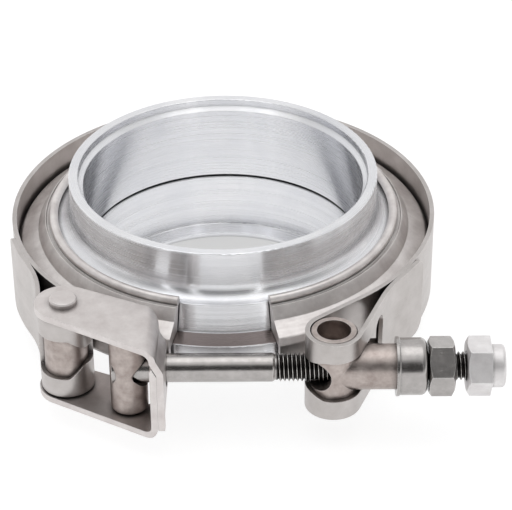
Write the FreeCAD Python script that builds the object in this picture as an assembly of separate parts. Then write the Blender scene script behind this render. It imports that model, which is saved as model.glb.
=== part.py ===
import FreeCAD, Part
import math
import os

# V band clamp closed round a pair of weld flanges.
# Origin: on the ring's axis, in the plane where the two flanges meet. Z is the ring's axis.
# The T-bolt lies in front of the ring, along X, on the side of -Y.

V = FreeCAD.Vector
full = 360.0
quarter = full / 4.0
cutSpare = 2.0           # how far cutting tools run past what they cut

# Sizes of the flanges.
boreR = 31.75            # bore of the tube that the flanges carry
neckWall = 3.175
neckR = boreR + neckWall # outside of the weld neck
neckTop = 19.2           # upper weld face above the joint plane
socketWall = 2.1         # rim left round the socket in the weld face
socketDepth = 1.7
socketBevel = 0.9        # bevel from the socket's floor into the bore
neckFillet = 3.0         # hollow at the foot of the neck
hubStep = 3.275          # how far the hub stands out from the neck
hubTopR = neckR + hubStep
hubTopZ = 8.3            # upper outer edge of the hub
hubFlare = 1.8           # the hub widens by this down to the clamping ledge
hubFootR = hubTopR + hubFlare
hubFootZ = 2.4
ledgeWidth = 4.45
ledgeR = hubFootR + ledgeWidth
ledgeEdgeZ = 1.85        # half thickness of the ledge at its edge
lowerHubLess = 0.8       # the lower hub, and the collar round it, are this much shorter
spigotWall = 3.25        # spigot that centres the flanges
spigotR = boreR + spigotWall
spigotLength = 1.3
spigotEndGap = 0.4       # open line between the spigot's end and its recess
spigotFit = 0.05
edgeBreak = 0.35
edgeRound = 0.25         # rounding of the outer edges
fineRound = 0.2
lowerFillet = 1.6        # hollow at the foot of the lower neck
neckSlope = 0.35         # the hub's top falls this much from neck to edge
sealSink = 0.04          # the sealing ring lies this far below the joint plane
lowerWall = 1.1          # wall of the lower neck above its turned-in end
lowerWaistZ = 15.0       # where the lower neck starts to turn in
lowerNeckEndZ = 17.15
lowerDrawIn = 0.65       # outside of the turned-in end, inside the bore's radius
lipReach = 3.25          # how far the lip at the end reaches into the bore
lipH = 1.15
sealOut = 2.9            # centre circle of the sealing ring, out from the spigot
sealR = spigotR + sealOut
sealCord = 2.6
sealFit = 0.15

# Sizes of the V retainer.
retainerFit = 0.1
beadOut = 0.6            # centre circle of the rolled lip, out from the hub's top
beadRise = 0.9
retainerBeadR = hubTopR + beadOut
retainerBeadCord = 2.0   # thickness of the rolled lip
retainerBeadZ = hubTopZ + beadRise
lipOut = 2.45            # outer shoulder beside the rolled lip
lipRise = 0.5
retainerLipR = hubTopR + lipOut
retainerLipZ = hubTopZ + lipRise
kneeOut = 2.4            # crease between collar and clamping leg
kneeRise = 3.7
retainerKneeR = hubFootR + kneeOut
retainerKneeZ = hubFootZ + kneeRise
shoulderOut = 1.75
shoulderRise = 1.7
retainerShoulderR = ledgeR + shoulderOut
retainerShoulderZ = hubFootZ + shoulderRise
retainerWeb = 1.4        # wall of the web under the strap
webClear = 1.3           # between the ledge's edge and the web
retainerInnerOut = 0.75  # inner edge of the collar, out from the hub's top
retainerInnerR = hubTopR + retainerInnerOut
retainerGroove = 0.5     # depth of the groove between lip and shoulder
grooveFrom = 0.9         # the groove starts this far inside the shoulder
grooveTo = 0.2
grooveSide = 0.2         # run and rise of the groove's inner side
webFall = 1.4            # the web starts this far below the outer shoulder
retainerRound = 0.8
innerRound = 0.3
legInset = 0.35          # the clamping leg starts this far outside the hub's foot
retainerRightAzimuth = -74.8 # azimuth of the ends beside the front gap
retainerLeftAzimuth = 256.2
retainerSplitAzimuth = 90.0     # the two segments meet behind the ring
retainerSplitGap = 1.2

# Sizes of the strap.
strapT = 1.0
strapWidth = 19.05
strapInnerR = ledgeR + webClear + retainerWeb
strapLayerGap = 0.03
leftTabEndAzimuth = 193.5       # azimuth of the free end of the left tab
leftTabLeaveAzimuth = 208.0     # azimuth where the left tab leaves the ring
rightTabLiftAzimuth = -32.6     # the last run of the right tab is straight and lifts off the ring
rightTabFreeLength = 5.4
rightTabLeaveAzimuth = -37.5
tabBendR = 30.0          # gentle bend of each tab where it leaves the ring
tabCornerR = 2.4
tabLowerCornerR = 3.2    # lower corner of the right tab
leftPivotAzimuth = 230.7
rightLoopOut = 1.35      # how far the right loop stands off the ring
rightPivotAzimuth = -64.4
windowHalf = 4.95        # half height of the windows in the loops
entryHalf = 3.7          # half height where the bolt enters the right loop
entryReach = 3.4         # run over which that end widens to the window
leftEntryHalf = 2.2      # narrow end of the left window, on the ring's side
leftTaperFrom = 1.0      # taper of the left window, from the pivot's axis
leftTaperTo = 4.0
tubeHoleLength = 6.0     # hole for the cross tube in the right tab, from the loop
tubeHoleEndHalf = 2.45
crossSlotFrom = 9.8      # slot across the right tab, from the loop
crossSlotWidth = 4.7
crossSlotHalf = 6.5

# Sizes of the pivots.
pivotFit = 0.05
sleeveR = 4.7
sleeveBoreR = 2.05
sleeveProud = 0.125      # past the strap's edges, at each end
sleeveHalf = strapWidth / 2.0 + sleeveProud
rivetHeadR = 2.95
rivetHeadH = 1.15
rivetTailR = 2.8
rivetTailH = 1.0
rivetEdge = 0.3
trunnionR = 5.0
trunnionBoreR = 3.6
trunnionBoreDepth = 5.2
trunnionChamfer = 0.35

# Sizes of the T-bolt and its fittings.
inch = 25.4
boltR = inch / 8.0 - 0.05
shankShort = 12.67       # end of the shank, short of the right pivot's axis
reliefLength = 0.7
boltTip = 0.6
barrelFromPivot = 13.756 # barrel's axis from the rivet's, along the bolt
barrelR = 4.0
barrelProud = 0.175      # past the strap's edge
barrelHalf = strapWidth / 2.0 + barrelProud
barrelShort = 1.3        # upper end below the upper plate, clear of its bend
barrelEdge = 0.6
barrelPocketR = 3.85     # mouth round the bolt in the barrel
barrelPocketDepth = 4.6
barrelSeatDepth = 7.4    # how far the bolt goes into the barrel
tubeR = 4.85             # cross tube of the trunnion
tubeReach = 18.63        # end of the tube from the right pivot's axis
tubeBoreR = 3.35
mouthR = 3.5             # mouth opened to the front beside the bolt
mouthBack = 4.07         # centre of its round end, short of the pivot's axis
collarLap = 5.5          # how far the collar covers the tube
collarFloor = 1.0
collarR = 6.1
collarLipR = 6.35
collarLip = 0.8
collarRound = 1.3
collarFit = 0.05
nutGap = 0.3
nutLength = 5.5
nutAcross = 11.1         # across flats
nutTurn = 46.7           # turn of the first nut about the bolt, degrees
nutsApart = 2.6
lockNutLength = 5.1
lockNutTurn = 58.9
insertHousingR = 4.6
insertHousingLength = 3.0
insertRound = 0.8
insertR = 3.9
insertLength = 2.2
threadFit = 0.04
bevelAngle = 30.0        # corners of the hexagons turned off at this angle
bevelInside = 0.96       # circle left on the nut's face, as a share of its width across flats

# Sizes of the bracket.
sheetT = 1.45
plateGap = 0.2           # between the barrel's ends and the plates
bracketEndR = 6.2
bracketFront = 10.1      # front of the bracket from the bolt's axis
bracketRear = 6.0        # rear corner of the plates from the bolt's axis
wallRear = 1.4           # rear edge of the wall, clear of the retainer and the swinging barrel
wallSkew = 1.5           # turn of the wall about the ring's axis direction, degrees
bracketCornerSet = 0.35  # the front corner set back at the bend
wallClear = 0.95         # between the barrel and the wall
lapGap = 0.02
joggleRound = 0.6
slopeSet = 0.05          # the slanted cut starts this far inside the wall
joggleDrop = 1.7         # start of the joggle below the upper plate
joggleRun = 3.0
outerWallRise = 0.9      # foot of the outer sheet above the lower plate
tongueRearZ = -4.3       # the outer sheet is cut back on a slant below the slot
tongueFrontZ = -5.6
tongueWidth = 1.7
innerWallDrop = 2.5      # top of the inner sheet below the upper plate
bendR = 1.5
slotHalf = 3.95
slotFront = 4.15         # closed end of the slot from the bolt's axis
rivetHoleFit = 0.03


def polar(radius, degrees):
    a = math.radians(degrees)
    return V(radius * math.cos(a), radius * math.sin(a), 0)


def cylinder(radius, length, base, axis):
    return Part.makeCylinder(radius, length, base, axis)


def alongX(radius, x0, x1, y, z=0.0):
    return Part.makeCylinder(radius, x1 - x0, V(x0, y, z), V(1, 0, 0))


def turned(points, sweep=full, start=0.0):
    # points: (radius, height) pairs; a third number rounds that corner
    wire = outline(points, lambda r, z: V(r, 0, z))
    face = Part.Face(wire)
    body = face.revolve(V(0, 0, 0), V(0, 0, 1), sweep)
    if start:
        body.rotate(V(0, 0, 0), V(0, 0, 1), start)
    return body


def outline(points, place):
    # closed wire through the points, with an arc in each corner that states a radius
    count = len(points)
    entries = []
    exits = []
    arcs = []
    for i in range(count):
        here = place(points[i][0], points[i][1])
        before = place(points[i - 1][0], points[i - 1][1])
        after = place(points[(i + 1) % count][0], points[(i + 1) % count][1])
        radius = points[i][2] if len(points[i]) > 2 else 0.0
        if radius <= 0.0:
            entries.append(here)
            exits.append(here)
            arcs.append(None)
            continue
        a = (before - here).normalize()
        b = (after - here).normalize()
        half = a.getAngle(b) / 2.0
        reach = radius / math.tan(half)
        middle = (a + b).normalize()
        centre = here + middle * (radius / math.sin(half))
        entries.append(here + a * reach)
        exits.append(here + b * reach)
        arcs.append(Part.Arc(here + a * reach, centre - middle * radius, here + b * reach).toShape())
    edges = []
    for i in range(count):
        if arcs[i] is not None:
            edges.append(arcs[i])
        follow = entries[(i + 1) % count]
        if exits[i].distanceToPoint(follow) > 1e-6:
            edges.append(Part.makeLine(exits[i], follow))
    return Part.Wire(edges)


def prism(points, z0, z1):
    face = Part.Face(outline(points, lambda x, y: V(x, y, z0)))
    return face.extrude(V(0, 0, z1 - z0))


def checked(shape):
    return shape.removeSplitter()


# Flanges.

def upperFlange():
    socketR = neckR - socketWall
    profile = [
        (boreR, -spigotLength + edgeBreak),
        (boreR + edgeBreak, -spigotLength),
        (spigotR - edgeBreak, -spigotLength),
        (spigotR, -spigotLength + edgeBreak),
        (spigotR, 0.0),
        (ledgeR, 0.0),
        (ledgeR, ledgeEdgeZ, edgeRound),
        (hubFootR, hubFootZ),
        (hubTopR, hubTopZ, fineRound),
        (neckR, hubTopZ + neckSlope, neckFillet),
        (neckR, neckTop, edgeRound),
        (socketR, neckTop, fineRound),
        (socketR, neckTop - socketDepth),
        (boreR, neckTop - socketDepth - socketBevel),
    ]
    return turned(profile)


def lowerFlange():
    recessR = spigotR + spigotFit
    recess = spigotLength + spigotEndGap
    lipR = boreR - lipReach
    profile = [
        (boreR + edgeBreak / 2.0, -recess),
        (recessR, -recess),
        (recessR, 0.0),
        (ledgeR, 0.0),
        (ledgeR, -ledgeEdgeZ, edgeRound),
        (hubFootR, -hubFootZ),
        (hubTopR, lowerHubLess - hubTopZ, fineRound),
        (neckR, lowerHubLess - hubTopZ - neckSlope, lowerFillet),
        (boreR + lowerWall, -lowerWaistZ, lipH),
        (boreR - lowerDrawIn, -lowerNeckEndZ, edgeRound),
        (lipR, -lowerNeckEndZ, fineRound),
        (lipR, lipH - lowerNeckEndZ, fineRound),
        (boreR, -lowerWaistZ, lipH / 2.0),
        (boreR, -recess - edgeBreak / 2.0),
    ]
    body = turned(profile)
    groove = turned(sealGroove())
    return checked(body.cut(groove))


def sealGroove():
    half = sealCord / 2.0 + sealFit
    depth = sealCord + sealSink
    return [
        (sealR - half, cutSpare),
        (sealR + half, cutSpare),
        (sealR + half, -depth),
        (sealR - half, -depth),
    ]


def sealRing():
    cord = sealCord / 2.0
    return Part.makeTorus(sealR, cord, V(0, 0, -cord - sealSink / 2.0), V(0, 0, 1))


# V retainer.

def retainerHalfProfile(less):
    outerR = strapInnerR
    innerR = outerR - retainerWeb
    legZ = hubFootZ + retainerFit
    edgeZ = ledgeEdgeZ + retainerFit
    lipZ = retainerLipZ - less
    grooveZ = lipZ - retainerGroove
    return [
        (retainerInnerR, grooveZ + grooveSide),
        (retainerLipR - grooveFrom, grooveZ + grooveSide),
        (retainerLipR - grooveFrom + grooveSide, grooveZ),
        (retainerLipR - grooveTo, grooveZ),
        (retainerLipR, lipZ, 0.1),
        (retainerKneeR, retainerKneeZ - less / 2.0),
        (retainerShoulderR, retainerShoulderZ, retainerRound),
        (outerR, retainerShoulderZ - webFall, retainerRound),
        (outerR, -0.01),
        (innerR, -0.01),
        (innerR, edgeZ - retainerFit, innerRound),
        (hubFootR + legInset, legZ, innerRound),
    ]


def retainerSegment(start, sweep):
    body = None
    for side, less in ((1.0, 0.0), (-1.0, lowerHubLess)):
        half = [(p[0], p[1] * side) + tuple(p[2:]) for p in retainerHalfProfile(less)]
        leg = turned(half, sweep, start)
        beadZ = (retainerBeadZ - less) * side
        bead = Part.makeCircle(retainerBeadCord / 2.0, V(retainerBeadR, 0, beadZ), V(0, 1, 0))
        beadBody = Part.Face(Part.Wire(bead)).revolve(V(0, 0, 0), V(0, 0, 1), sweep)
        beadBody.rotate(V(0, 0, 0), V(0, 0, 1), start)
        leg = leg.fuse(beadBody)
        body = leg if body is None else body.fuse(leg)
    return checked(body)


# Strap.

ringR = strapInnerR + strapT / 2.0
outerLayerR = ringR + strapT + strapLayerGap
leftLoopR = sleeveR + pivotFit + strapT / 2.0
rightLoopR = trunnionR + pivotFit + strapT / 2.0
leftPivot = polar(ringR + leftLoopR, leftPivotAzimuth)
rightPivotR = ringR + rightLoopR + rightLoopOut
rightPivot = polar(rightPivotR, rightPivotAzimuth)
boltY = rightPivot.y


def headingAngle(vector):
    return math.degrees(math.atan2(vector.y, vector.x))


class StripPath:
    # centre line of the strap in plan: arcs and straight runs that join in line

    def __init__(self, start, heading):
        self.at = start
        self.heading = heading
        self.left = []
        self.right = []

    def side(self, point, heading, offset):
        a = math.radians(heading + quarter)
        return point + V(math.cos(a), math.sin(a), 0) * offset

    def straight(self, length):
        a = math.radians(self.heading)
        end = self.at + V(math.cos(a), math.sin(a), 0) * length
        half = strapT / 2.0
        self.left.append(Part.makeLine(self.side(self.at, self.heading, half), self.side(end, self.heading, half)))
        self.right.append(Part.makeLine(self.side(self.at, self.heading, -half), self.side(end, self.heading, -half)))
        self.at = end

    def bend(self, radius, turn):
        # turn in degrees, to the left when positive
        sign = 1.0 if turn > 0 else -1.0
        centre = self.side(self.at, self.heading, radius * sign)
        half = strapT / 2.0
        for store, offset in ((self.left, half), (self.right, -half)):
            ends = []
            for part in (0.0, 0.5, 1.0):
                h = self.heading + turn * part
                a = math.radians(h - quarter * sign)
                ends.append(centre + V(math.cos(a), math.sin(a), 0) * (radius - offset * sign))
            store.append(Part.Arc(*ends).toShape())
        a = math.radians(self.heading + turn - quarter * sign)
        self.at = centre + V(math.cos(a), math.sin(a), 0) * radius
        self.heading += turn

    def face(self):
        first = Part.makeLine(self.left[0].Vertexes[0].Point, self.right[0].Vertexes[0].Point)
        last = Part.makeLine(self.left[-1].Vertexes[-1].Point, self.right[-1].Vertexes[-1].Point)
        edges = self.left + [last] + self.right[::-1] + [first]
        return Part.Face(Part.Wire(Part.__sortEdges__(edges)))


def tabLine(pivot, loopR, leaveAzimuth, side):
    # run from the bend at the ring to the outside of a loop: the bend turns away from the ring,
    # and the run is tangent to the bend and to the loop
    bendCentre = polar(outerLayerR + tabBendR, leaveAzimuth)
    gap = pivot - bendCentre
    distance = gap.Length
    lean = math.degrees(math.asin((tabBendR + loopR) / distance))
    heading = headingAngle(gap) - side * lean
    length = math.sqrt(distance ** 2 - (tabBendR + loopR) ** 2)
    return heading, length


def strapPath():
    # starts at the free end of the left tab and runs round both loops to the free end of the right tab
    start = polar(outerLayerR, leftTabEndAzimuth)
    path = StripPath(start, leftTabEndAzimuth + quarter)
    path.bend(outerLayerR, leftTabLeaveAzimuth - leftTabEndAzimuth)
    leftHeading, leftRun = tabLine(leftPivot, leftLoopR, leftTabLeaveAzimuth, 1.0)
    turn = (leftHeading - path.heading + full / 2.0) % full - full / 2.0
    path.bend(tabBendR, turn)
    path.straight(leftRun)
    # round the sleeve until the heading is the ring's, clockwise
    ringHeading = leftPivotAzimuth - quarter
    turn = (ringHeading - path.heading) % full
    path.bend(leftLoopR, turn)
    # the ring, clockwise, to the straight run into the right loop
    lean = math.degrees(math.acos((ringR + rightLoopR) / rightPivotR))
    leaveAzimuth = rightPivotAzimuth + lean
    path.bend(ringR, -(leftPivotAzimuth - leaveAzimuth))
    run = math.sqrt(rightPivotR ** 2 - (ringR + rightLoopR) ** 2)
    path.straight(run)
    # round the trunnion and out along the right tab
    rightHeading, rightRun = tabLine(rightPivot, rightLoopR, rightTabLeaveAzimuth, -1.0)
    rightHeading += full / 2.0
    turn = (rightHeading - path.heading) % full
    path.bend(rightLoopR, turn)
    path.straight(rightRun)
    turn = (rightTabLeaveAzimuth + quarter - path.heading + full / 2.0) % full - full / 2.0
    path.bend(tabBendR, turn)
    path.bend(outerLayerR, rightTabLiftAzimuth - rightTabLeaveAzimuth)
    path.straight(rightTabFreeLength)
    return path, rightHeading


def windowPrism(points, y0, y1):
    # opening through the front of a loop, drawn in the XZ plane
    wire = outline(points, lambda x, z: V(x, y0, z))
    return Part.Face(wire).extrude(V(0, y1 - y0, 0))


def tabCorner(end, azimuth, upper, side, radius):
    # block outside a rounded corner at the free end of a tab
    along = polar(1.0, azimuth - quarter * side)
    out = polar(1.0, azimuth)
    rise = V(0, 0, upper)
    corner = end + rise * (strapWidth / 2.0)
    a = corner + along * radius
    b = corner - rise * radius
    centre = corner + (along - rise) * radius
    m = centre - (along - rise).normalize() * radius
    edges = [
        Part.Arc(a, m, b).toShape(),
        Part.makeLine(b, b - along * 2.0),
        Part.makeLine(b - along * 2.0, corner - along * 2.0 + rise * 2.0),
        Part.makeLine(corner - along * 2.0 + rise * 2.0, a + rise * 2.0),
        Part.makeLine(a + rise * 2.0, a),
    ]
    block = Part.Face(Part.Wire(edges)).extrude(out * (strapT * 3.0))
    block.translate(out * (-strapT * 1.5))
    # only what lies outside the ring is taken away
    ring = cylinder(outerLayerR - (strapT + strapLayerGap) / 2.0, strapWidth * 2.0, V(0, 0, -strapWidth), V(0, 0, 1))
    return block.cut(ring)


def leftWindow():
    x, y = leftPivot.x, leftPivot.y
    reach = leftLoopR + strapT
    points = [
        (x - reach - 1.0, -windowHalf),
        (x + leftTaperFrom, -windowHalf, 1.5),
        (x + leftTaperTo, -leftEntryHalf, 1.5),
        (x + reach, -leftEntryHalf),
        (x + reach, leftEntryHalf),
        (x + leftTaperTo, leftEntryHalf, 1.5),
        (x + leftTaperFrom, windowHalf, 1.5),
        (x - reach - 1.0, windowHalf),
    ]
    return windowPrism(points, y - reach, y + 0.5)


def rightWindow():
    x, y = rightPivot.x, rightPivot.y
    reach = rightLoopR + strapT
    entryX = x - reach
    points = [
        (entryX, -entryHalf),
        (entryX + strapT, -entryHalf, 1.5),
        (entryX + strapT + entryReach, -windowHalf, 2.0),
        (x + reach, -windowHalf),
        (x + reach, windowHalf),
        (entryX + strapT + entryReach, windowHalf, 2.0),
        (entryX + strapT, entryHalf, 1.5),
        (entryX, entryHalf),
    ]
    front = windowPrism(points, y - reach, y)
    rear = alongX(entryHalf - pivotFit, entryX - rightLoopR, x - strapT, boltY)
    return front.fuse(rear)


def rightTabWindow(heading):
    # the window goes on into the tab for the cross tube and ends in a slot across the tab
    touch = heading - quarter
    slotTo = crossSlotFrom + crossSlotWidth
    hole = [
        (-0.2, -windowHalf),
        (tubeHoleLength, -windowHalf),
        (crossSlotFrom + pivotFit, -tubeHoleEndHalf),
        (crossSlotFrom + pivotFit, tubeHoleEndHalf),
        (tubeHoleLength, windowHalf),
        (-0.2, windowHalf),
    ]
    roundEnd = crossSlotWidth / 2.0 - pivotFit
    slot = [
        (crossSlotFrom, -crossSlotHalf, roundEnd),
        (slotTo, -crossSlotHalf, roundEnd),
        (slotTo, crossSlotHalf, roundEnd),
        (crossSlotFrom, crossSlotHalf, roundEnd),
    ]
    depth = strapT * 1.5
    body = windowPrism(hole, -depth, depth).fuse(windowPrism(slot, -depth, depth))
    body.Placement = FreeCAD.Placement(rightPivot + polar(rightLoopR, touch),
                                       FreeCAD.Rotation(V(0, 0, 1), heading))
    return body


def strap():
    path, rightHeading = strapPath()
    body = path.face().extrude(V(0, 0, strapWidth))
    body.translate(V(0, 0, -strapWidth / 2.0))
    body = body.cut(leftWindow())
    body = body.cut(rightWindow())
    body = body.cut(rightTabWindow(rightHeading))
    for upper in (1.0, -1.0):
        body = body.cut(tabCorner(polar(outerLayerR, leftTabEndAzimuth), leftTabEndAzimuth, upper, -1.0, tabCornerR))
    rightEndAzimuth = path.heading - quarter
    body = body.cut(tabCorner(path.at, rightEndAzimuth, 1.0, 1.0, tabCornerR))
    body = body.cut(tabCorner(path.at, rightEndAzimuth, -1.0, 1.0, tabLowerCornerR))
    return checked(body)


# Left pivot.

def sleeve():
    base = V(leftPivot.x, leftPivot.y, -sleeveHalf)
    body = cylinder(sleeveR, 2.0 * sleeveHalf, base, V(0, 0, 1))
    return body.cut(cylinder(sleeveBoreR, 2.0 * sleeveHalf, base, V(0, 0, 1)))


plateIn = barrelHalf + plateGap
plateOut = plateIn + sheetT
barrelTop = plateIn - barrelShort
barrelX = leftPivot.x + barrelFromPivot
wallInnerX = barrelX + barrelR + wallClear   # inside of the wall at its front edge
bracketFrontY = boltY - bracketFront
bracketRearY = boltY + bracketRear
wallRearY = boltY + wallRear
slotFrontY = boltY - slotFront
joggleTop = plateIn - joggleDrop
joggleFoot = joggleTop - joggleRun
innerWallTop = plateIn - innerWallDrop
outerWallFoot = outerWallRise - plateIn

shankEndX = rightPivot.x - shankShort
threadStartX = shankEndX + reliefLength
mouthX = rightPivot.x - mouthBack
tubeEndX = rightPivot.x + tubeReach
collarX = tubeEndX - collarLap
collarEndX = tubeEndX + collarFloor
nutX = collarEndX + nutGap
lockNutX = nutX + nutLength + nutsApart
insertHousingEndX = lockNutX + lockNutLength + insertHousingLength
boltEndX = insertHousingEndX


def rivet():
    x, y = leftPivot.x, leftPivot.y
    shankR = sleeveBoreR - pivotFit
    shank = cylinder(shankR, 2.0 * plateOut, V(x, y, -plateOut), V(0, 0, 1))
    head = cylinder(rivetHeadR, rivetHeadH, V(x, y, plateOut), V(0, 0, 1))
    edges = [e for e in head.Edges if e.BoundBox.ZMin > plateOut + rivetHeadH / 2.0 and e.BoundBox.XLength > 1.0]
    head = head.makeChamfer(rivetEdge, edges)
    tail = cylinder(rivetTailR, rivetTailH, V(x, y, -plateOut - rivetTailH), V(0, 0, 1))
    edges = [e for e in tail.Edges if e.BoundBox.ZMax < -plateOut - rivetTailH / 2.0 and e.BoundBox.XLength > 1.0]
    tail = tail.makeFillet(rivetEdge, edges)
    return checked(shank.fuse(head).fuse(tail))


# Bracket: two L-shaped sheets, lapped along the wall.

skewSlope = math.tan(math.radians(wallSkew))


def wallX(y):
    # inside of the wall in plan: the wall leans away from the pivot towards the ring
    return wallInnerX + (y - bracketFrontY) * skewSlope


def bracketPlan():
    # outline in plan: a round end about the rivet, and sides tangent to it
    reach = wallX(bracketRearY) + 2.0 * sheetT + lapGap + 1.0
    front = V(wallX(bracketFrontY) + bracketCornerSet, bracketFrontY, 0)
    rear = V(wallX(bracketRearY), bracketRearY, 0)
    centre = leftPivot

    def tangent(point, side):
        gap = centre - point
        lean = math.degrees(math.asin(bracketEndR / gap.Length))
        heading = headingAngle(gap) + side * lean
        length = math.sqrt(gap.Length ** 2 - bracketEndR ** 2)
        return point + polar(length, heading)

    frontTouch = tangent(front, 1.0)
    rearTouch = tangent(rear, -1.0)
    away = centre + (centre - (front + rear) * 0.5).normalize() * bracketEndR
    edges = [
        Part.makeLine(V(reach, bracketFrontY, 0), front),
        Part.makeLine(front, frontTouch),
        Part.Arc(frontTouch, away, rearTouch).toShape(),
        Part.makeLine(rearTouch, rear),
        Part.makeLine(rear, V(reach, bracketRearY, 0)),
        Part.makeLine(V(reach, bracketRearY, 0), V(reach, bracketFrontY, 0)),
    ]
    face = Part.Face(Part.Wire(edges))
    body = face.extrude(V(0, 0, 4.0 * plateOut))
    body.translate(V(0, 0, -2.0 * plateOut))
    return body


def sheetSection(points):
    # section of a bent sheet in the XZ plane at the bracket's front, drawn out along the wall
    spare = 5.0
    length = 40.0
    lean = -spare * skewSlope
    wire = outline(points, lambda x, z: V(x + lean, bracketFrontY - spare, z))
    return Part.Face(wire).extrude(V(length * skewSlope, length, 0))


def bracketCuts(body):
    hole = cylinder(sleeveBoreR - pivotFit + rivetHoleFit, 2.0 * (plateOut + cutSpare),
                    V(leftPivot.x, leftPivot.y, -plateOut - cutSpare), V(0, 0, 1))
    x0 = wallInnerX - cutSpare
    x1 = wallX(bracketRearY) + 2.0 * (sheetT + cutSpare)
    backY = bracketRearY + cutSpare
    # the slot for the bolt is open at the rear
    slot = Part.makeBox(x1 - x0, backY - slotFrontY - slotHalf, 2.0 * slotHalf,
                        V(x0, slotFrontY + slotHalf, -slotHalf))
    slotEnd = alongX(slotHalf, x0, x1, slotFrontY + slotHalf)
    # the wall stops short of the retainer, and the plates reach further back
    rearZ = plateIn - bendR - 0.15
    trim = Part.makeBox(x1 - x0, backY - wallRearY, 2.0 * rearZ, V(x0, wallRearY, -rearZ))
    rise = plateOut - rearZ + 0.2
    slope = prismYZ([
        (wallRearY, rearZ - 1.0),
        (wallRearY, rearZ),
        (bracketRearY + 0.5, rearZ + rise),
        (backY, rearZ + rise),
        (backY, rearZ - 1.0),
    ], wallInnerX - slopeSet, x1)
    body = body.cut(hole).cut(slot).cut(slotEnd).cut(trim).cut(slope)
    slope = slope.mirror(V(0, 0, 0), V(0, 0, 1))
    return body.cut(slope)


def prismYZ(points, x0, x1):
    wire = outline(points, lambda y, z: V(x0, y, z))
    return Part.Face(wire).extrude(V(x1 - x0, 0, 0))


def bracketUpper():
    wallOuterX = wallInnerX + sheetT
    lapX = wallOuterX + lapGap
    farX = leftPivot.x - 2.0 * bracketEndR
    outer = bendR + sheetT
    points = [
        (farX, plateIn),
        (wallInnerX, plateIn, bendR),
        (wallInnerX, joggleTop, joggleRound),
        (lapX, joggleFoot, joggleRound),
        (lapX, outerWallFoot),
        (lapX + sheetT, outerWallFoot),
        (lapX + sheetT, joggleFoot + 0.5, joggleRound),
        (wallOuterX, joggleTop + 0.5, joggleRound),
        (wallOuterX, plateOut, outer),
        (farX, plateOut),
    ]
    body = bracketCuts(sheetSection(points).common(bracketPlan()))
    strip = bracketFrontY + tongueWidth
    slant = prismYZ([
        (bracketRearY + cutSpare, tongueRearZ),
        (strip, tongueFrontZ),
        (strip, outerWallFoot - 1.0),
        (bracketRearY + cutSpare, outerWallFoot - 1.0),
    ], wallInnerX - sheetT, wallInnerX + 4.0 * sheetT)
    return checked(body.cut(slant))


def bracketLower():
    wallOuterX = wallInnerX + sheetT
    farX = leftPivot.x - 2.0 * bracketEndR
    outer = bendR + sheetT
    points = [
        (farX, -plateIn),
        (wallInnerX, -plateIn, bendR),
        (wallInnerX, innerWallTop - sheetT),
        (wallInnerX + sheetT * 0.3, innerWallTop - sheetT * 0.3),
        (wallOuterX, joggleFoot - 0.3),
        (wallOuterX, -plateOut, outer),
        (farX, -plateOut),
    ]
    body = bracketCuts(sheetSection(points).common(bracketPlan()))
    # the lower bend ends with the wall, so that the barrel can swing past it
    bendZ = plateIn - bendR
    reach = 2.0 * bracketEndR
    notch = Part.makeBox(reach, reach, plateOut + cutSpare - bendZ,
                         V(wallInnerX - bendR - plateGap, wallRearY - 1.0, -plateOut - cutSpare))
    return checked(body.cut(notch))


# T-bolt.

def barrel():
    body = cylinder(barrelR, barrelTop + barrelHalf, V(barrelX, boltY, -barrelHalf), V(0, 0, 1))
    ends = [e for e in body.Edges if e.BoundBox.ZLength < 0.01 and e.BoundBox.XLength > 1.0]
    body = body.makeFillet(barrelEdge, ends)
    rightX = barrelX + barrelR
    pocket = alongX(barrelPocketR, rightX - barrelPocketDepth, rightX + 2.0, boltY)
    seat = alongX(boltR, rightX - barrelSeatDepth, rightX + 2.0, boltY)
    return checked(body.cut(pocket).cut(seat))


def tBolt():
    startX = barrelX + barrelR - barrelSeatDepth
    profile = [
        (startX, 0.0),
        (startX, boltR),
        (shankEndX, boltR),
        (shankEndX + 0.35, boltR - 0.4),
        (threadStartX, boltR - 0.4),
        (threadStartX + 0.3, boltR - 0.02),
        (boltEndX - boltTip, boltR - 0.02),
        (boltEndX, boltR - boltTip),
        (boltEndX, 0.0),
    ]
    wire = outline(profile, lambda x, r: V(x, r, 0))
    body = Part.Face(wire).revolve(V(0, 0, 0), V(1, 0, 0), full)
    body.translate(V(0, boltY, 0))
    return body


# Trunnion.

def trunnion():
    x, y = rightPivot.x, rightPivot.y
    half = strapWidth / 2.0
    upright = cylinder(trunnionR, 2.0 * half, V(x, y, -half), V(0, 0, 1))
    ends = [e for e in upright.Edges if e.BoundBox.ZLength < 0.01 and e.BoundBox.XLength > 1.0]
    upright = upright.makeChamfer(trunnionChamfer, ends)
    tube = alongX(tubeR, x, tubeEndX, boltY)
    body = upright.fuse(tube)
    for side in (1.0, -1.0):
        base = V(x, y, half * side)
        body = body.cut(cylinder(trunnionBoreR, trunnionBoreDepth, base, V(0, 0, -side)))
    body = body.cut(alongX(tubeBoreR, x - 2.0 * trunnionR, tubeEndX + 1.0, boltY))
    frontY = y - trunnionR - 1.0
    mouth = Part.makeBox(2.0 * trunnionR, boltY - frontY, 2.0 * mouthR, V(mouthX - 2.0 * trunnionR, frontY, -mouthR))
    body = body.cut(cylinder(mouthR, boltY - frontY, V(mouthX, frontY, 0), V(0, 1, 0)))
    return checked(body.cut(mouth))


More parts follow.
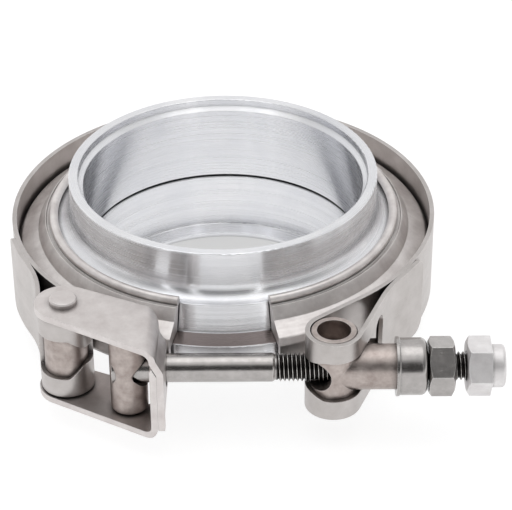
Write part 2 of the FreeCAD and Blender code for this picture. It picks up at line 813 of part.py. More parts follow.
def thrustCollar():
    profile = [
        (collarX, tubeR + collarFit),
        (collarX, collarLipR),
        (collarX + collarLip, collarLipR, 0.3),
        (collarX + collarLip, collarR),
        (collarEndX, collarR, collarRound),
        (collarEndX, tubeBoreR),
        (tubeEndX + collarFit, tubeBoreR),
        (tubeEndX + collarFit, tubeR + collarFit),
    ]
    wire = outline(profile, lambda x, r: V(x, r, 0))
    body = Part.Face(wire).revolve(V(0, 0, 0), V(1, 0, 0), full)
    body.translate(V(0, boltY, 0))
    return body


# Nuts.

def hexBlank(x0, length, turn, frontBevel, rearBevel):
    corner = nutAcross / math.sqrt(3.0)
    points = []
    for i in range(7):
        a = math.radians(turn + 60.0 * i)
        points.append(V(x0, boltY + corner * math.cos(a), corner * math.sin(a)))
    body = Part.Face(Part.makePolygon(points)).extrude(V(length, 0, 0))
    spareR = corner + 0.06
    rise = spareR - nutAcross / 2.0 * bevelInside
    run = rise * math.tan(math.radians(bevelAngle))
    profile = [
        (x0, 0.0),
        (x0, spareR - (rise if frontBevel else 0.0)),
        (x0 + run, spareR),
        (x0 + length - run, spareR),
        (x0 + length, spareR - (rise if rearBevel else 0.0)),
        (x0 + length, 0.0),
    ]
    wire = outline(profile, lambda x, r: V(x, r, 0))
    turnedBlank = Part.Face(wire).revolve(V(0, 0, 0), V(1, 0, 0), full)
    turnedBlank.translate(V(0, boltY, 0))
    return body.common(turnedBlank)


def hexNut():
    body = hexBlank(nutX, nutLength, nutTurn, True, True)
    return checked(body.cut(alongX(boltR + threadFit, nutX - 1.0, nutX + nutLength + 1.0, boltY)))


def lockNutBody():
    body = hexBlank(lockNutX, lockNutLength, lockNutTurn, True, False)
    housing = alongX(insertHousingR, lockNutX + lockNutLength - 0.5, insertHousingEndX, boltY)
    rim = [e for e in housing.Edges if e.BoundBox.XMin > insertHousingEndX - 0.01 and e.BoundBox.YLength > 1.0]
    housing = housing.makeFillet(insertRound, rim)
    body = body.fuse(housing)
    body = body.cut(alongX(boltR + threadFit, lockNutX - 1.0, insertHousingEndX + 1.0, boltY))
    pocketX = insertHousingEndX - insertLength - 0.5
    return checked(body.cut(alongX(insertR, pocketX, insertHousingEndX - 0.5, boltY)))


def lockNutInsert():
    pocketX = insertHousingEndX - insertLength - 0.5
    body = alongX(insertR, pocketX, insertHousingEndX - 0.5, boltY)
    return body.cut(alongX(boltR + threadFit, pocketX - 1.0, insertHousingEndX + 1.0, boltY))


splitHalf = math.degrees(retainerSplitGap / 2.0 / ringR)

parts = {
    "upper_flange": upperFlange(),
    "lower_flange": lowerFlange(),
    "seal_ring": sealRing(),
    "retainer_right": retainerSegment(retainerRightAzimuth, retainerSplitAzimuth - splitHalf - retainerRightAzimuth),
    "retainer_left": retainerSegment(retainerSplitAzimuth + splitHalf, retainerLeftAzimuth - retainerSplitAzimuth - splitHalf),
    "strap": strap(),
    "pivot_sleeve": sleeve(),
    "pivot_rivet": rivet(),
    "bracket_upper": bracketUpper(),
    "bracket_lower": bracketLower(),
    "t_bolt_barrel": barrel(),
    "t_bolt": tBolt(),
    "trunnion": trunnion(),
    "thrust_collar": thrustCollar(),
    "hex_nut": hexNut(),
    "lock_nut_body": lockNutBody(),
    "lock_nut_insert": lockNutInsert(),
}

os.makedirs("parts", exist_ok=True)
for name, shape in parts.items():
    solids = shape.Solids
    body = solids[0] if len(solids) == 1 else shape
    print(name, "solids", len(solids), "valid", shape.isValid(), "volume %.1f" % shape.Volume)
    body.exportStep("parts/%s.step" % name)
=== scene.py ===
import math
import bmesh
import bpy
import numpy as np
from mathutils import Matrix, Vector


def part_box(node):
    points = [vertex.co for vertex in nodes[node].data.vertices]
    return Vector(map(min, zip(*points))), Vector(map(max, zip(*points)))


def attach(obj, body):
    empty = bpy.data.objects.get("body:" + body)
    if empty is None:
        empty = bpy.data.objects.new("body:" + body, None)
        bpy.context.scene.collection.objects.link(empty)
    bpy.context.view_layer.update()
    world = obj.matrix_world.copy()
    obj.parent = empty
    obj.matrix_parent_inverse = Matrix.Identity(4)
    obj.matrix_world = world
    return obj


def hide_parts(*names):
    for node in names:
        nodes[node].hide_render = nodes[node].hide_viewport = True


# V band clamp closed round a pair of weld flanges. Metres, Z along the ring's axis.
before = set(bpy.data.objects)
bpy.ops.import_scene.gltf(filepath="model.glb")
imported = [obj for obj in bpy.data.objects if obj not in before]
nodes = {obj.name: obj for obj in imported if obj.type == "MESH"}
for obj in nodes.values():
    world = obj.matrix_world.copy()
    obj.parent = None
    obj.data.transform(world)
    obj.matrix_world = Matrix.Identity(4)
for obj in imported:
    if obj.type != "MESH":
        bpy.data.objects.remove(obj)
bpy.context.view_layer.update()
mm = 0.001
boltAxisY = -49.195 * mm    # the T-bolt's axis runs along X at this Y, at Z = 0
print("frame loaded:", len(nodes), "nodes")

# The Mix node has sockets of one name for each kind of data, so its colour sockets go by number.
mixFactor, mixFirst, mixSecond, mixResult = 0, 6, 7, 2


def linear(hexColour):
    # sRGB hex to the linear values that the sockets take
    channels = [int(hexColour[i:i + 2], 16) / 255.0 for i in (1, 3, 5)]
    return [c / 12.92 if c <= 0.04045 else ((c + 0.055) / 1.055) ** 2.4 for c in channels] + [1.0]


def addNode(tree, kind, values=None, links=None, **settings):
    node = tree.nodes.new("ShaderNode" + kind)
    for name, value in settings.items():
        setattr(node, name, value)
    for socket, value in (values or {}).items():
        node.inputs[socket].default_value = value
    for socket, source in (links or {}).items():
        tree.links.new(source, node.inputs[socket])
    return node


def setRamp(node, stops):
    # stops are pairs of a place from 0 to 1 and a colour
    ramp = node.color_ramp
    while len(ramp.elements) > 1:
        ramp.elements.remove(ramp.elements[-1])
    ramp.elements[0].position, ramp.elements[0].color = stops[0]
    for place, colour in stops[1:]:
        ramp.elements.new(place).color = colour
    return node


def grey(level):
    return [level, level, level, 1.0]


def newMaterial(name):
    material = bpy.data.materials.new(name)
    material.use_nodes = True
    tree = material.node_tree
    return material, tree, tree.nodes["Principled BSDF"]


def meshPiece(name, points, faces, material, body, sharpAngle):
    # a new piece on one of the frame's bodies, shaded smooth except where faces meet above sharpAngle degrees
    mesh = bpy.data.meshes.new(name)
    mesh.from_pydata(points, [], faces)
    mesh.validate()
    piece = bpy.data.objects.new(name, mesh)
    bpy.context.scene.collection.objects.link(piece)
    mesh.materials.append(material)
    mesh.shade_smooth()
    mesh.set_sharp_from_angle(angle=math.radians(sharpAngle))
    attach(piece, body)
    return piece


def dress(nodeNames, material):
    # gives the frame's own nodes a material
    for name in nodeNames:
        slots = nodes[name].data.materials
        slots.clear()
        slots.append(material)


# Patterns that the metals share.

def distanceFromZ(tree):
    # the length of (x, y, 0)
    place = addNode(tree, "TexCoord").outputs["Object"]
    flat = addNode(tree, "VectorMath", {1: (1, 1, 0)}, {0: place}, operation="MULTIPLY")
    return addNode(tree, "VectorMath", links={0: flat.outputs[0]}, operation="LENGTH").outputs["Value"]


def ringGrain(tree, lines, reach):
    # lathe or roll lines round the Z axis: they change quickly with radius and height, slowly with X
    axes = addNode(tree, "SeparateXYZ", links={0: addNode(tree, "TexCoord").outputs["Object"]})
    slow = addNode(tree, "Math", {1: 1.0 / reach}, {0: axes.outputs[0]}, operation="MULTIPLY")
    radius = addNode(tree, "Math", {1: 1.0 / lines}, {0: distanceFromZ(tree)}, operation="MULTIPLY")
    height = addNode(tree, "Math", {1: 1.0 / lines}, {0: axes.outputs[2]}, operation="MULTIPLY")
    place = {0: radius.outputs[0], 1: height.outputs[0], 2: slow.outputs[0]}
    return addNode(tree, "CombineXYZ", links=place).outputs[0]


def stretched(tree, sizeX, sizeY, sizeZ):
    # grains of the given size along each axis
    place = addNode(tree, "TexCoord").outputs["Object"]
    scale = (1.0 / sizeX, 1.0 / sizeY, 1.0 / sizeZ)
    return addNode(tree, "Mapping", {"Scale": scale}, {"Vector": place}).outputs[0]


def tintWhere(tree, bsdf, where, hexColour):
    # takes the base colour over to another one where the mask is 1
    before = bsdf.inputs["Base Color"].links[0].from_socket
    after = addNode(tree, "Mix", {mixSecond: linear(hexColour)}, {mixFactor: where, mixFirst: before},
                    data_type="RGBA")
    tree.links.new(after.outputs[mixResult], bsdf.inputs["Base Color"])


# What every bare metal has in common; its own tones and sizes stand in its own dictionary.
bareMetal = dict(grainDetail=3.0, grainRoughness=0.6, grainRange=(0.25, 0.75),
                 cloudDetail=4.0, cloudRoughness=0.62, cloudRange=(0.3, 0.7),
                 flatFacing=0.995, edgeFacing=0.9,      # cosines of the turn that the rounded edge adds
                 edgeSamples=4, cornerSamples=6)


def metal(name, values, grainAt):
    # bare metal: a slow mottling of the colour, fine lines or grit in roughness and bump, edges that handling
    # has rounded and lightened, partly burnished and partly a painted highlight, and corners darkened with
    # painted shade
    material, tree, bsdf = newMaterial(name)
    grain = addNode(tree, "TexNoise", {"Scale": 1.0, "Detail": bareMetal["grainDetail"],
                                       "Roughness": bareMetal["grainRoughness"]}, {"Vector": grainAt(tree)})
    cloud = addNode(tree, "TexNoise", {"Scale": 1.0 / values["cloud"], "Detail": bareMetal["cloudDetail"],
                                       "Roughness": bareMetal["cloudRoughness"]},
                    {"Vector": addNode(tree, "TexCoord").outputs["Object"]})
    cloudLow, cloudHigh = bareMetal["cloudRange"]
    spread = addNode(tree, "MapRange", {"From Min": cloudLow, "From Max": cloudHigh},
                     {"Value": cloud.outputs[0]})
    tone = addNode(tree, "Mix", {mixFirst: linear(values["dark"]), mixSecond: linear(values["light"])},
                   {mixFactor: spread.outputs[0]}, data_type="RGBA")

    rounded = addNode(tree, "Bevel", {"Radius": values["edge"]}, samples=bareMetal["edgeSamples"])
    surface = addNode(tree, "NewGeometry")
    facing = addNode(tree, "VectorMath", links={0: rounded.outputs[0], 1: surface.outputs["Normal"]},
                     operation="DOT_PRODUCT")
    # edges lightened: partly burnishing from handling, partly a painted highlight along the sheet edges
    wearAndGlint = addNode(tree, "MapRange", {"From Min": bareMetal["flatFacing"],
                                      "From Max": bareMetal["edgeFacing"], "To Max": values["wearAndGlintAmount"]},
                   {"Value": facing.outputs["Value"]})
    colour = addNode(tree, "Mix", {mixSecond: linear(values["wearAndGlint"])},
                     {mixFactor: wearAndGlint.outputs[0], mixFirst: tone.outputs[mixResult]}, data_type="RGBA")

    # painted shade: the colour is darkened in corners, creases and between parts, where an occlusion measure
    # finds them
    openness = addNode(tree, "AmbientOcclusion", {"Distance": values["corner"]},
                       samples=bareMetal["cornerSamples"])
    corner = addNode(tree, "MapRange", {"From Min": values["cornerFrom"], "From Max": 1.0,
                                        "To Min": values["cornerShade"], "To Max": 1.0},
                     {"Value": openness.outputs["AO"]})
    shadedCorners = addNode(tree, "CombineXYZ", links={channel: corner.outputs[0] for channel in (0, 1, 2)})
    colour = addNode(tree, "Mix", {mixFactor: 1.0},
                     {mixFirst: colour.outputs[mixResult], mixSecond: shadedCorners.outputs[0]},
                     data_type="RGBA", blend_type="MULTIPLY")

    grainLow, grainHigh = bareMetal["grainRange"]
    rough = addNode(tree, "MapRange", {"From Min": grainLow, "From Max": grainHigh,
                                       "To Min": values["smooth"], "To Max": values["rough"]},
                    {"Value": grain.outputs[0]})
    patchy = addNode(tree, "Math", {1: values["patch"]}, {0: spread.outputs[0], 2: rough.outputs[0]},
                     operation="MULTIPLY_ADD")
    bump = addNode(tree, "Bump", {"Strength": 1.0, "Distance": values["depth"]},
                   {"Height": grain.outputs[0], "Normal": rounded.outputs[0]})
    tree.links.new(colour.outputs[mixResult], bsdf.inputs["Base Color"])
    tree.links.new(patchy.outputs[0], bsdf.inputs["Roughness"])
    tree.links.new(bump.outputs[0], bsdf.inputs["Normal"])
    bsdf.inputs["Metallic"].default_value = 1.0
    return material, tree, bsdf


# Machined aluminium, turned on a lathe: bright, nearly a mirror round the ring, while the tool's lines smear
# lights up and down. The lines are drawn coarser than the real feed of about 0.1 mm, so that they show.
aluminium = dict(dark="#E6E7EB", light="#F6F6F8", wearAndGlint="#FAFAFC", wearAndGlintAmount=0.6, edge=0.15 * mm, cloud=18.0 * mm,
                 corner=1.0 * mm, cornerFrom=0.45, cornerShade=0.45,
                 smooth=0.19, rough=0.29, patch=0.03, lines=0.4 * mm, reach=125.0 * mm, depth=0.0003 * mm,
                 smear=0.97, smearTurn=0.25,        # a quarter turn: smeared across the lines
                 ledgeReflection="#7E7573", ledge=(40.1 * mm, 44.4 * mm), ledgeFade=0.2 * mm)


def turnedAluminium(values):
    material, tree, bsdf = metal("turned aluminium", values,
                                 lambda tree: ringGrain(tree, values["lines"], values["reach"]))
    bsdf.inputs["Anisotropic"].default_value = values["smear"]
    bsdf.inputs["Anisotropic Rotation"].default_value = values["smearTurn"]
    around = addNode(tree, "Tangent", direction_type="RADIAL", axis="Z")
    tree.links.new(around.outputs[0], bsdf.inputs["Tangent"])
    # painted reflection: the clamping ledge is tinted a dull brownish grey, for the shaded hub cone and the
    # dark parts in front that it mirrors
    inner, outer = values["ledge"]
    radius = distanceFromZ(tree)
    fromInner = addNode(tree, "MapRange", {"From Min": inner, "From Max": inner + values["ledgeFade"]},
                        {"Value": radius})
    fromOuter = addNode(tree, "MapRange", {"From Min": outer, "From Max": outer - values["ledgeFade"]},
                        {"Value": radius})
    onLedge = addNode(tree, "Math", links={0: fromInner.outputs[0], 1: fromOuter.outputs[0]},
                      operation="MULTIPLY")
    tintWhere(tree, bsdf, onLedge.outputs[0], values["ledgeReflection"])
    return material


dress(["upper_flange", "lower_flange"], turnedAluminium(aluminium))

# Cold rolled 304 strip with a satin finish: soft warm grey, its grain along the strip. The grain is drawn
# coarser than the real one, so that it shows.
strip = dict(dark="#B7B2AF", light="#CBC6C4", wearAndGlint="#EFEBE8", wearAndGlintAmount=0.7, edge=0.25 * mm, cloud=6.0 * mm,
             corner=1.4 * mm, cornerFrom=0.30, cornerShade=0.45,
             smooth=0.24, rough=0.40, patch=0.06, along=6.0 * mm, across=0.18 * mm, depth=0.004 * mm)


def rolledStrip(values):
    along, across = values["along"], values["across"]
    return metal("rolled stainless strip", values, lambda tree: stretched(tree, along, along, across))[0]


dress(["strap"], rolledStrip(strip))

# The same sheet rolled to a V: satin, with the rolls' lines round the ring, drawn coarser than they are.
rolled = dict(dark="#D2CCCA", light="#F0ECEA", wearAndGlint="#EFECEA", wearAndGlintAmount=0.6, edge=0.2 * mm, cloud=5.0 * mm,
              corner=0.9 * mm, cornerFrom=0.3, cornerShade=0.4,
              smooth=0.36, rough=0.58, patch=0.06, lines=0.5 * mm, reach=25.0 / 3.0 * mm, depth=0.005 * mm)


def rolledRing(values):
    return metal("roll formed stainless", values,
                 lambda tree: ringGrain(tree, values["lines"], values["reach"]))[0]


dress(["retainer_right", "retainer_left"], rolledRing(rolled))

# Blanked and folded stainless plate, tumbled: an even satin grit, drawn coarser than it is.
plate = dict(dark="#CDC6C4", light="#E2DDDB", wearAndGlint="#F2EFEC", wearAndGlintAmount=0.7, edge=0.25 * mm, cloud=4.0 * mm,
             corner=1.4 * mm, cornerFrom=0.30, cornerShade=0.45,
             smooth=0.28, rough=0.44, patch=0.05, grit=0.35 * mm, depth=0.006 * mm)


def tumbledPlate(values):
    grit = values["grit"]
    return metal("tumbled stainless plate", values, lambda tree: stretched(tree, grit, grit, grit))[0]


dress(["bracket_upper", "bracket_lower", "pivot_rivet"], tumbledPlate(plate))

# Turned pins, tumbled: warm grey and a little blotchy, with the same kind of coarse grit.
pin = dict(dark="#A0948F", light="#C4BAB5", wearAndGlint="#E8E4E1", wearAndGlintAmount=0.6, edge=0.25 * mm, cloud=2.2 * mm,
           corner=1.4 * mm, cornerFrom=0.30, cornerShade=0.45,
           smooth=0.24, rough=0.42, patch=0.10, grit=0.4 * mm, depth=0.008 * mm)


def tumbledPin(values):
    grit = values["grit"]
    return metal("tumbled stainless pin", values, lambda tree: stretched(tree, grit, grit, grit))[0]


dress(["pivot_sleeve", "t_bolt_barrel", "trunnion"], tumbledPin(pin))

# Bright drawn stainless bar: clear reflections, broken a little by the die's lines along X, which are drawn
# coarser than they are.
bright = dict(dark="#A5A2A0", light="#BAB6B4", wearAndGlint="#F4F2F0", wearAndGlintAmount=0.6, edge=0.2 * mm, cloud=3.0 * mm,
              corner=1.0 * mm, cornerFrom=0.4, cornerShade=0.4,
              smooth=0.16, rough=0.26, patch=0.04, along=3.0 * mm, across=0.3 * mm, depth=0.0008 * mm)


def drawnBar(name, values):
    along, across = values["along"], values["across"]
    return metal(name, values, lambda tree: stretched(tree, along, across, across))


dress(["thrust_collar", "hex_nut"], drawnBar("bright drawn stainless", bright)[0])

# Nickel-plated steel lock nut: the palest metal on the part, satin rather than bright.
plated = dict(dark="#DEDBDB", light="#F0EEEE", wearAndGlint="#FBFAFA", wearAndGlintAmount=0.9, edge=0.3 * mm, cloud=3.0 * mm,
              corner=0.8 * mm, cornerFrom=0.4, cornerShade=0.5,
              smooth=0.46, rough=0.60, patch=0.03, grit=0.3 * mm, depth=0.001 * mm)


def platedNut(values):
    grit = values["grit"]
    return metal("satin plated steel", values, lambda tree: stretched(tree, grit, grit, grit))[0]


dress(["lock_nut_body"], platedNut(plated))

# The bolt is the same drawn bar; painted shade makes the roots of its rolled thread nearly black. The shade
# comes in between two radii, and between two places along X.
shadedRoots = dict(rootShade="#2B2827", plainRadius=3.0 * mm, shadedRadius=2.72 * mm, plainUpTo=11.3 * mm, shadedFrom=11.7 * mm)


def rolledThread(bar, values):
    material, tree, bsdf = drawnBar("drawn stainless, rolled thread", bar)
    place = addNode(tree, "TexCoord").outputs["Object"]
    fromAxis = addNode(tree, "VectorMath", {1: (0.0, -boltAxisY, 0.0)}, {0: place}, operation="ADD")
    across = addNode(tree, "VectorMath", {1: (0.0, 1.0, 1.0)}, {0: fromAxis.outputs[0]}, operation="MULTIPLY")
    radius = addNode(tree, "VectorMath", links={0: across.outputs[0]}, operation="LENGTH")
    deep = addNode(tree, "MapRange", {"From Min": values["plainRadius"], "From Max": values["shadedRadius"]},
                   {"Value": radius.outputs["Value"]}, interpolation_type="SMOOTHSTEP")
    run = addNode(tree, "SeparateXYZ", links={0: place})
    onThread = addNode(tree, "MapRange", {"From Min": values["plainUpTo"], "From Max": values["shadedFrom"]},
                       {"Value": run.outputs[0]})
    inRootShade = addNode(tree, "Math", links={0: deep.outputs[0], 1: onThread.outputs[0]}, operation="MULTIPLY")
    # painted shade: the thread's roots are darkened towards black
    tintWhere(tree, bsdf, inRootShade.outputs[0], values["rootShade"])
    return material


threadMaterial = rolledThread(bright, shadedRoots)
dress(["t_bolt"], threadMaterial)


def mottled(tree, bsdf, values):
    # an even finish with soft patches between two tones
    noise = addNode(tree, "TexNoise", {"Scale": 1.0 / values["patches"], "Detail": values["detail"]},
                    {"Vector": addNode(tree, "TexCoord").outputs["Object"]})
    tone = addNode(tree, "Mix", {mixFirst: linear(values["dark"]), mixSecond: linear(values["light"])},
                   {mixFactor: noise.outputs[0]}, data_type="RGBA")
    tree.links.new(tone.outputs[mixResult], bsdf.inputs["Base Color"])
    bsdf.inputs["Roughness"].default_value = values["rough"]


# Black nitrile cord in its groove: matt, with a faint bloom.
nitrile = dict(dark="#16161A", light="#2A2A2D", patches=10.0 / 9.0 * mm, detail=3.0, rough=0.6)


def nitrileRubber(values):
    material, tree, bsdf = newMaterial("nitrile rubber")
    mottled(tree, bsdf, values)
    return material


dress(["seal_ring"], nitrileRubber(nitrile))

# Natural nylon ring in the lock nut: milky, faintly uneven from moulding.
nylon = dict(dark="#C9C9CC", light="#DDDDDF", patches=5.0 / 3.0 * mm, detail=2.0, rough=0.45,
             milk=0.1, milkDepth=1.0 * mm)


def naturalNylon(values):
    material, tree, bsdf = newMaterial("natural nylon")
    mottled(tree, bsdf, values)
    bsdf.inputs["Subsurface Weight"].default_value = values["milk"]
    bsdf.inputs["Subsurface Radius"].default_value = (values["milkDepth"],) * 3
    return material


dress(["lock_nut_insert"], naturalNylon(nylon))
print("materials done")


# T-bolt: a plain shank, a relief and a rolled thread of 28 turns to the inch. Places are along X, and what
# is taken off is measured on the radius.
bolt = dict(radius=3.075 * mm, start=-23.15 * mm, shankEnd=10.9 * mm, threadStart=11.6 * mm, end=59.7 * mm,
            chamferBefore=0.15 * mm, chamferAfter=0.35 * mm,    # its reach on each side of shankEnd
            chamferDepth=0.4 * mm,
            ringBefore=0.25 * mm,       # a ring of points there keeps the shank's shading even
            reliefDepth=0.42 * mm,
            reliefInside=0.2 * mm,      # how far the relief reaches into the thread
            overlap=0.4 * mm,           # how far the thread reaches into the relief
            cover=0.05 * mm,            # how much the thread's cones start lower there and at the tip
            runIn=0.7, tip=0.6 * mm,    # slope of the first cone, and what the second takes off at the end
            pitch=25.4 / 28 * mm, rootDepth=0.556 * mm,
            rootFlat=0.125, flank=0.3125,   # half the root's flat, and a flank, as shares of the pitch
            around=64, rows=12,             # points round the bolt and along one pitch
            sharpAngle=28.0)


def latheSurface(profile, around):
    # a profile of (distance along X, radius) turned about X: a closed shell with a fan at each end
    profile = np.array(profile)
    angle = np.linspace(0.0, 2.0 * math.pi, around, endpoint=False)
    x = np.repeat(profile[:, 0], around)
    radius = np.repeat(profile[:, 1], around)
    turn = np.tile(angle, len(profile))
    points = np.stack([x, radius * np.cos(turn), radius * np.sin(turn)], 1)
    row, column = np.meshgrid(np.arange(len(profile) - 1), np.arange(around), indexing="ij")
    a = (row * around + column).ravel()
    b = (row * around + (column + 1) % around).ravel()
    faces = np.stack([a, b, b + around, a + around], 1).tolist()
    firstRing = np.arange(around)
    lastRing = firstRing + (len(profile) - 1) * around
    return points, faces + [firstRing[::-1].tolist(), lastRing.tolist()]


def threadSurface(values):
    # radius over (turn, run along X): the height of a 60 degree thread with flat crests and roots,
    # its phase (x - pitch * turn / 2 pi) / pitch, held under a cone at each end
    around, rows = values["around"], values["rows"]
    start, end = values["threadStart"] - values["overlap"], values["end"]
    pitch, cover = values["pitch"], values["cover"]
    count = int(math.ceil((end - start) / pitch)) * rows + 2 * rows
    run = start - pitch + np.arange(count) * pitch / rows
    turn = np.arange(around) / around
    phase = np.repeat((run / pitch % 1.0)[:, None], around, 1)
    height = np.clip((np.abs(phase - 0.5) - values["rootFlat"]) / values["flank"], 0.0, 1.0)
    root = values["radius"] - values["rootDepth"]
    x = np.clip(run[:, None] + pitch * turn[None, :], start, end)
    coneIn = root - cover + (x - start) * values["runIn"]
    coneOut = values["radius"] - values["tip"] - cover + (end - x)
    radius = np.minimum(root + values["rootDepth"] * height, np.minimum(coneIn, coneOut))
    angle = np.repeat((2.0 * math.pi * turn)[None, :], count, 0)
    points = np.stack([x, radius * np.cos(angle), radius * np.sin(angle)], 2).reshape(-1, 3)
    row, column = np.meshgrid(np.arange(count - rows - 1), np.arange(around), indexing="ij")
    # after one turn a row meets the row one pitch further on
    nextRow = row + np.where(column == around - 1, rows, 0)
    nextColumn = (column + 1) % around
    a = (row * around + column).ravel()
    b = (nextRow * around + nextColumn).ravel()
    return points, np.stack([a, a + around, b + around, b], 1)


def shankProfile(values):
    # points (distance along X, radius) of the plain shank, its chamfer and the relief
    radius, shankEnd = values["radius"], values["shankEnd"]
    return [(values["start"], radius), (shankEnd - values["ringBefore"], radius),
            (shankEnd - values["chamferBefore"], radius),
            (shankEnd + values["chamferAfter"], radius - values["chamferDepth"]),
            (values["threadStart"] + values["reliefInside"], radius - values["reliefDepth"])]


def makeBolt(values, material):
    # shank with its relief, and thread, stand on one axis as two closed shells
    shankPoints, shankFaces = latheSurface(shankProfile(values), values["around"])
    threadPoints, threadFaces = threadSurface(values)
    points = np.concatenate([shankPoints, threadPoints]) + np.array([0.0, boltAxisY, 0.0])
    faces = shankFaces + (threadFaces + len(shankPoints)).tolist()
    piece = meshPiece("bolt_with_thread", points.tolist(), faces, material, "t_bolt",
                      values["sharpAngle"])
    closeShell(piece)
    return piece


def closeShell(piece):
    # merges the points that the end cones bring together and closes what is left open
    sameSpot, tooShort = 1e-7, 1e-8
    work = bmesh.new()
    work.from_mesh(piece.data)
    bmesh.ops.remove_doubles(work, verts=work.verts, dist=sameSpot)
    bmesh.ops.dissolve_degenerate(work, dist=tooShort, edges=work.edges)
    rim = [edge for edge in work.edges if len(edge.link_faces) == 1]
    bmesh.ops.holes_fill(work, edges=rim, sides=0)
    bmesh.ops.recalc_face_normals(work, faces=work.faces)
    work.to_mesh(piece.data)
    work.free()


threadedBolt = makeBolt(bolt, threadMaterial)
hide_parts("t_bolt")
print("bolt done:", len(threadedBolt.data.polygons), "faces")


# Pale table with a faint mottling; it glows a little, so that it stays white round the shadows.
table = dict(reach=3.0, share=0.30, darker=0.99, patches=25.0 * mm, glow=0.84, glossGlow=0.80,
             boreShade=0.57, boreEdge=(29.0 * mm, 32.0 * mm))


def paleFloor(level, values):
    reach = values["reach"]
    mesh = bpy.data.meshes.new("floor")
    corners = [(-reach, -reach, level), (reach, -reach, level), (reach, reach, level), (-reach, reach, level)]
    mesh.from_pydata(corners, [], [(0, 1, 2, 3)])
    floor = bpy.data.objects.new("floor", mesh)
    bpy.context.scene.collection.objects.link(floor)
    material = bpy.data.materials.new("pale floor")
    material.use_nodes = True
    tree = material.node_tree
    tree.nodes.clear()
    speck = addNode(tree, "TexNoise", {"Scale": 1.0 / values["patches"]},
                    {"Vector": addNode(tree, "TexCoord").outputs["Object"]})
    tone = addNode(tree, "Mix", {mixFirst: grey(values["share"] * values["darker"]),
                                 mixSecond: grey(values["share"])},
                   {mixFactor: speck.outputs[0]}, data_type="RGBA")
    matt = addNode(tree, "BsdfDiffuse", links={"Color": tone.outputs[mixResult]})
    path = addNode(tree, "LightPath")
    gloss = addNode(tree, "Math", links={0: path.outputs["Is Transmission Ray"],
                                         1: path.outputs["Is Glossy Ray"]}, operation="MAXIMUM")
    gloss = addNode(tree, "Math", {1: values["glossGlow"]}, {0: gloss.outputs[0]}, operation="MULTIPLY")
    # painted shade: the table's glow is dimmed inside the bore, where less light reaches the table
    boreFrom, boreTo = values["boreEdge"]
    shade = addNode(tree, "MapRange", {"From Min": boreFrom, "From Max": boreTo,
                                       "To Min": values["glow"] * values["boreShade"],
                                       "To Max": values["glow"]}, {"Value": distanceFromZ(tree)})
    strength = addNode(tree, "Math", links={0: path.outputs["Is Camera Ray"], 1: shade.outputs[0],
                                            2: gloss.outputs[0]}, operation="MULTIPLY_ADD")
    glow = addNode(tree, "Emission", {"Color": grey(1.0)}, {"Strength": strength.outputs[0]})
    both = addNode(tree, "AddShader", links={0: matt.outputs[0], 1: glow.outputs[0]})
    addNode(tree, "OutputMaterial", links={"Surface": both.outputs[0]})
    mesh.materials.append(material)


# Pale walls at the sides and behind, a dark room in front with three narrow upright lights in it, a bright
# band low down all round and a pale ceiling. The walls' brightness goes by bearing in degrees: 0 is the
# camera's side, minus is its left. Heights are the upward part of a direction, 0 level and 1 overhead.
studio = dict(walls=[(-180, 0.86), (-110, 0.86), (-90, 0.60), (-60, 0.42), (-43, 0.28), (-41.5, 1.8),
                     (-38.5, 1.8), (-37, 0.12), (-24, 0.07), (-22, 1.4), (-20, 1.4), (-18, 0.06), (23, 0.06),
                     (24.5, 1.7), (27, 1.7), (28.5, 0.10), (43, 0.22), (60, 0.32), (90, 0.55), (110, 0.86),
                     (180, 0.86)],
              band=1.15, bandTop=(0.16, 0.22), ceiling=1.12, ceilingFrom=(0.70, 0.97))


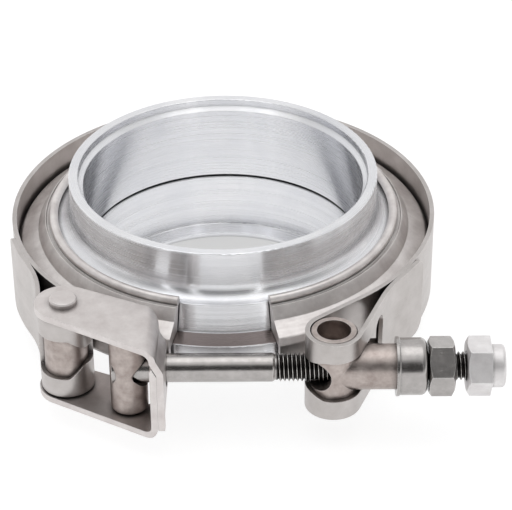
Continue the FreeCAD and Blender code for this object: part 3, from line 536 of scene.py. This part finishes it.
def studioWorld(values):
    world = bpy.data.worlds.new("studio")
    bpy.context.scene.world = world
    world.use_nodes = True
    tree = world.node_tree
    tree.nodes.clear()
    way = addNode(tree, "TexCoord").outputs["Generated"]
    axes = addNode(tree, "SeparateXYZ", links={0: way})
    flat = addNode(tree, "VectorMath", {1: (1, 1, 0)}, {0: way}, operation="MULTIPLY")
    level = addNode(tree, "VectorMath", links={0: flat.outputs[0]}, operation="NORMALIZE")
    flatAxes = addNode(tree, "SeparateXYZ", links={0: level.outputs[0]})
    ahead = addNode(tree, "Math", {1: -1.0}, {0: flatAxes.outputs[1]}, operation="MULTIPLY")
    bearing = addNode(tree, "Math", links={0: flatAxes.outputs[0], 1: ahead.outputs[0]}, operation="ARCTAN2")
    turnShare = addNode(tree, "MapRange", {"From Min": -math.pi, "From Max": math.pi},
                        {"Value": bearing.outputs[0]})
    walls = setRamp(addNode(tree, "ValToRGB", links={0: turnShare.outputs[0]}),
                    [(0.5 + degrees / 360.0, grey(amount)) for degrees, amount in values["walls"]])
    bandFull, bandGone = values["bandTop"]
    low = addNode(tree, "MapRange", {"From Min": bandFull, "From Max": bandGone,
                                     "To Min": values["band"], "To Max": 0.0},
                  {"Value": axes.outputs[2]}, interpolation_type="SMOOTHSTEP")
    low = addNode(tree, "CombineXYZ", links={channel: low.outputs[0] for channel in (0, 1, 2)})
    walls = addNode(tree, "Mix", {mixFactor: 1.0}, {mixFirst: walls.outputs[0], mixSecond: low.outputs[0]},
                    data_type="RGBA", blend_type="LIGHTEN")
    wallTop, ceilingFull = values["ceilingFrom"]
    up = addNode(tree, "MapRange", {"From Min": wallTop, "From Max": ceilingFull},
                 {"Value": axes.outputs[2]}, interpolation_type="SMOOTHSTEP")
    room = addNode(tree, "Mix", {mixSecond: grey(values["ceiling"])},
                   {mixFactor: up.outputs[0], mixFirst: walls.outputs[mixResult]}, data_type="RGBA")
    # the camera itself sees plain white
    path = addNode(tree, "LightPath")
    shown = addNode(tree, "Mix", {mixSecond: grey(1.0)},
                    {mixFactor: path.outputs["Is Camera Ray"], mixFirst: room.outputs[mixResult]},
                    data_type="RGBA")
    sky = addNode(tree, "Background", links={"Color": shown.outputs[mixResult]})
    addNode(tree, "OutputWorld", links={"Surface": sky.outputs[0]})


# Soft light above, a little behind the ring.
overhead = dict(place=(0.0, 0.1, 0.9), aim=(0.0, 0.0, 0.0), size=(0.8, 0.6), power=1.0)


def softBox(name, values):
    lamp = bpy.data.lights.new(name, "AREA")
    lamp.shape = "RECTANGLE"
    lamp.size, lamp.size_y = values["size"]
    lamp.energy = values["power"]
    holder = bpy.data.objects.new(name, lamp)
    holder.location = values["place"]
    toAim = Vector(values["aim"]) - Vector(values["place"])
    holder.rotation_euler = toAim.to_track_quat("-Z", "Y").to_euler()
    holder.visible_camera = False
    bpy.context.scene.collection.objects.link(holder)


# The camera looks along +Y and down, as solved from the ellipses of the rings. Lens and sensor are in
# millimetres, pitch and roll in degrees.
view = dict(lens=142.03, sensor=36.0, nearest=0.01, pitch=33.3046, roll=-0.385,
            place=(0.0073807, -0.3927844, 0.2540917))


def photoCamera(values):
    camera = bpy.data.cameras.new("photo camera")
    camera.lens = values["lens"]
    camera.sensor_width = values["sensor"]
    camera.clip_start = values["nearest"]
    holder = bpy.data.objects.new("photo camera", camera)
    pitch, roll = math.radians(values["pitch"]), math.radians(values["roll"])
    forward = Vector((0.0, math.cos(pitch), -math.sin(pitch)))
    levelRight = Vector((1.0, 0.0, 0.0))
    levelUp = Vector((0.0, math.sin(pitch), math.cos(pitch)))
    right = math.cos(roll) * levelRight + math.sin(roll) * levelUp
    up = math.cos(roll) * levelUp - math.sin(roll) * levelRight
    turn = Matrix((right, up, -forward)).transposed()
    holder.matrix_world = Matrix.Translation(values["place"]) @ turn.to_4x4()
    bpy.context.scene.collection.objects.link(holder)
    bpy.context.scene.camera = holder


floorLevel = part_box("lower_flange")[0].z
paleFloor(floorLevel, table)
studioWorld(studio)
softBox("overhead", overhead)
photoCamera(view)
bpy.context.scene.view_settings.view_transform = "Standard"
print("stage done")
